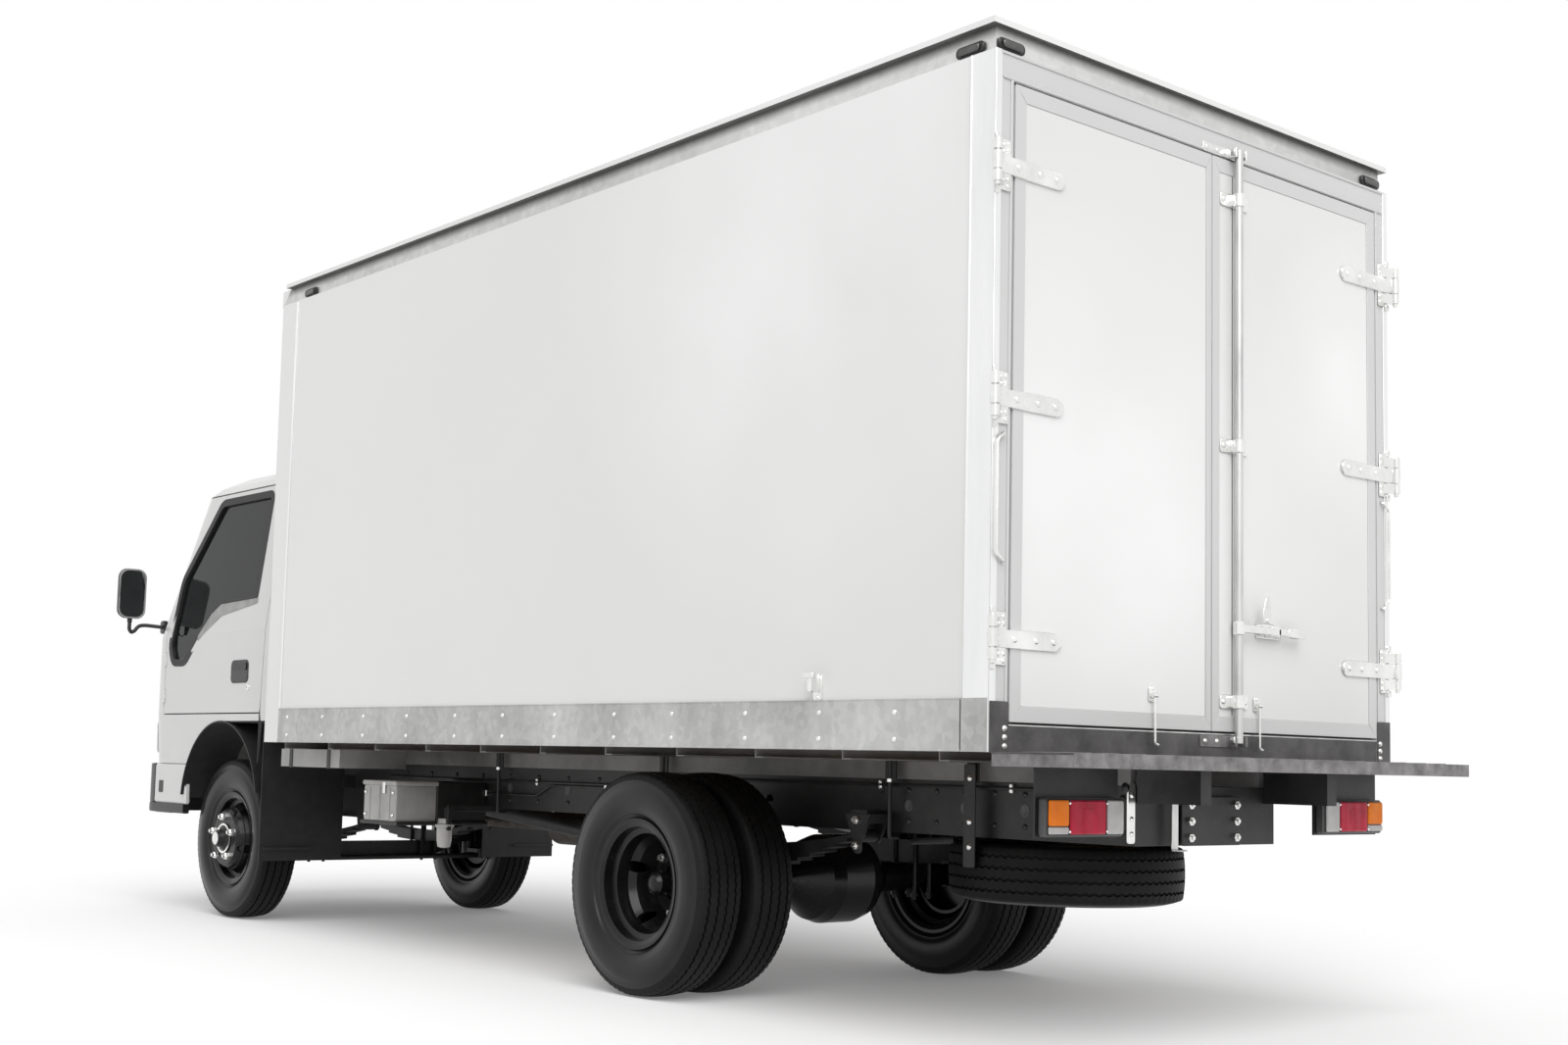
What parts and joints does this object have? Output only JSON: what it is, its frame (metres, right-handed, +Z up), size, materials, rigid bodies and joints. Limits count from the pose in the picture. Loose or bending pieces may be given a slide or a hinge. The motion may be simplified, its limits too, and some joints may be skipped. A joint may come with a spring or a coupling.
{
  "type": "light cab-over box truck",
  "caption": "Light cab-over truck with a closed box body, twin rear doors, a rear step and twin rear wheels.",
  "frame": {"origin": "on the ground, midway along the overall length and width", "axes": "+Z up, +Y towards the rear doors, +X towards the left side of the vehicle"},
  "size_m": [2.128, 6.604, 2.961],
  "materials": {
    "cab_white": "gloss solid white over pressed steel",
    "body_white": "white gel coated panel, satin",
    "chassis_black": "black chassis paint with road dust",
    "wheel_steel": "dark grey painted pressed steel",
    "galvanised": "dull galvanised steel and mill aluminium",
    "tyre_rubber": "black tyre rubber",
    "window_glass": "tinted safety glass",
    "floor_wood": "varnished plywood",
    "subframe_grey": "grey primer on steel",
    "lamp_red": "red, amber and clear lenses",
    "lamp_amber": "amber, red and white lenses",
    "lamp_clear": "clear headlamp lens",
    "black_plastic": "grained black moulding",
    "grey_plastic": "light grey moulding",
    "tank_grey": "grey painted steel tank",
    "step_steel": "worn black paint on steel",
    "seat_fabric": "grey woven seat cloth",
    "flap_rubber": "black flap rubber",
    "exhaust_steel": "heat stained steel"
  },
  "bodies": {
    "chassis": {"air_box": "grey_plastic", "battery_box": "grey_plastic", "bumper_valance": "black_plastic", "cargo_floor": "floor_wood", "chassis_frame": "chassis_black", "engine": "chassis_black", "exhaust": "exhaust_steel", "front_axle": "chassis_black", "front_bumper": "cab_white", "front_wall": "body_white", "fuel_tank": "tank_grey", "lamp_brackets": "step_steel", "leaf_springs": "chassis_black", "marker_lamps": "lamp_amber", "mudguards": "flap_rubber", "propshaft": "chassis_black", "rear_axle": "chassis_black", "rear_frame": "body_white", "rear_step": "step_steel", "roof": "body_white", "side_rails": "galvanised", "side_wall_left": "body_white", "side_wall_right": "body_white", "spare_carrier": "chassis_black", "spare_tyre": "tyre_rubber", "spare_wheel": "chassis_black", "subframe": "subframe_grey", "tail_lamps": "lamp_red"},
    "cab": {"cab_shell": "cab_white", "windscreen": "window_glass", "cab_rear_window": "window_glass", "grille": "black_plastic", "headlamps": "lamp_clear", "mirrors": "black_plastic", "seats": "seat_fabric", "dashboard": "black_plastic", "steering_column": "black_plastic"},
    "cab_door_left": {"cab_door_left": "cab_white", "door_glass_left": "window_glass"},
    "cab_door_right": {"cab_door_right": "cab_white", "door_glass_right": "window_glass"},
    "steering_wheel": {"steering_wheel": "black_plastic"},
    "rear_door_left": {"rear_door_left": "body_white"},
    "rear_door_right": {"rear_door_right": "body_white", "lock_gear": "galvanised"},
    "knuckle_left": {"knuckle_left": "chassis_black"},
    "knuckle_right": {"knuckle_right": "chassis_black"},
    "tie_rod": {"tie_rod": "chassis_black"},
    "wheel_front_left": {"wheel_front_left": "wheel_steel", "tyre_front_left": "tyre_rubber"},
    "wheel_front_right": {"wheel_front_right": "wheel_steel", "tyre_front_right": "tyre_rubber"},
    "wheels_rear_left": {"wheels_rear_left": "wheel_steel", "tyres_rear_left": "tyre_rubber"},
    "wheels_rear_right": {"wheels_rear_right": "wheel_steel", "tyres_rear_right": "tyre_rubber"}
  },
  "joints": [
    {"name": "cab_tilt", "type": "hinge", "parent": "chassis", "child": "cab", "pos_m": [0, -3.24, 0.715], "axis": [1, 0, 0], "range_deg": [0, 45]},
    {"name": "cab_door_left_hinge", "type": "hinge", "parent": "cab", "child": "cab_door_left", "pos_m": [0.846, -2.965, 1.5], "axis": [0, 0, -1], "range_deg": [0, 70]},
    {"name": "cab_door_right_hinge", "type": "hinge", "parent": "cab", "child": "cab_door_right", "pos_m": [-0.846, -2.965, 1.5], "axis": [0, 0, 1], "range_deg": [0, 70]},
    {"name": "steering", "type": "hinge", "parent": "cab", "child": "steering_wheel", "pos_m": [0.43, -2.682, 1.48], "axis": [0, 0.6428, 0.766], "range_deg": [-594, 594]},
    {"name": "steer_left", "type": "hinge", "parent": "chassis", "child": "knuckle_left", "pos_m": [0.6, -2.282, 0.3875], "axis": [0, 0, 1], "range_deg": [-33, 33]},
    {"name": "steer_right", "type": "hinge", "parent": "chassis", "child": "knuckle_right", "pos_m": [-0.6, -2.282, 0.3875], "axis": [0, 0, 1], "range_deg": [-33, 33]},
    {"name": "tie_rod_end", "type": "hinge", "parent": "knuckle_left", "child": "tie_rod", "pos_m": [0.6, -2.162, 0.3155], "axis": [0, 0, 1], "range_deg": [-33, 33]},
    {"name": "wheel_front_left_spin", "type": "hinge", "parent": "knuckle_left", "child": "wheel_front_left", "pos_m": [0.678, -2.282, 0.3875], "axis": [1, 0, 0], "continuous": true},
    {"name": "wheel_front_right_spin", "type": "hinge", "parent": "knuckle_right", "child": "wheel_front_right", "pos_m": [-0.678, -2.282, 0.3875], "axis": [1, 0, 0], "continuous": true},
    {"name": "wheels_rear_left_spin", "type": "hinge", "parent": "chassis", "child": "wheels_rear_left", "pos_m": [0.725, 1.268, 0.3875], "axis": [1, 0, 0], "continuous": true},
    {"name": "wheels_rear_right_spin", "type": "hinge", "parent": "chassis", "child": "wheels_rear_right", "pos_m": [-0.725, 1.268, 0.3875], "axis": [1, 0, 0], "continuous": true},
    {"name": "rear_door_left_hinge", "type": "hinge", "parent": "chassis", "child": "rear_door_left", "pos_m": [1.022, 3.025, 1.857], "axis": [0, 0, -1], "range_deg": [0, 262]},
    {"name": "rear_door_right_hinge", "type": "hinge", "parent": "chassis", "child": "rear_door_right", "pos_m": [-1.022, 3.025, 1.857], "axis": [0, 0, 1], "range_deg": [0, 262]}
  ],
  "couplings": [
    {"joint": "steer_right", "follows": "steer_left", "ratio": 1},
    {"joint": "tie_rod_end", "follows": "steer_left", "ratio": -1},
    {"joint": "steering", "follows": "steer_left", "ratio": 18}
  ]
}
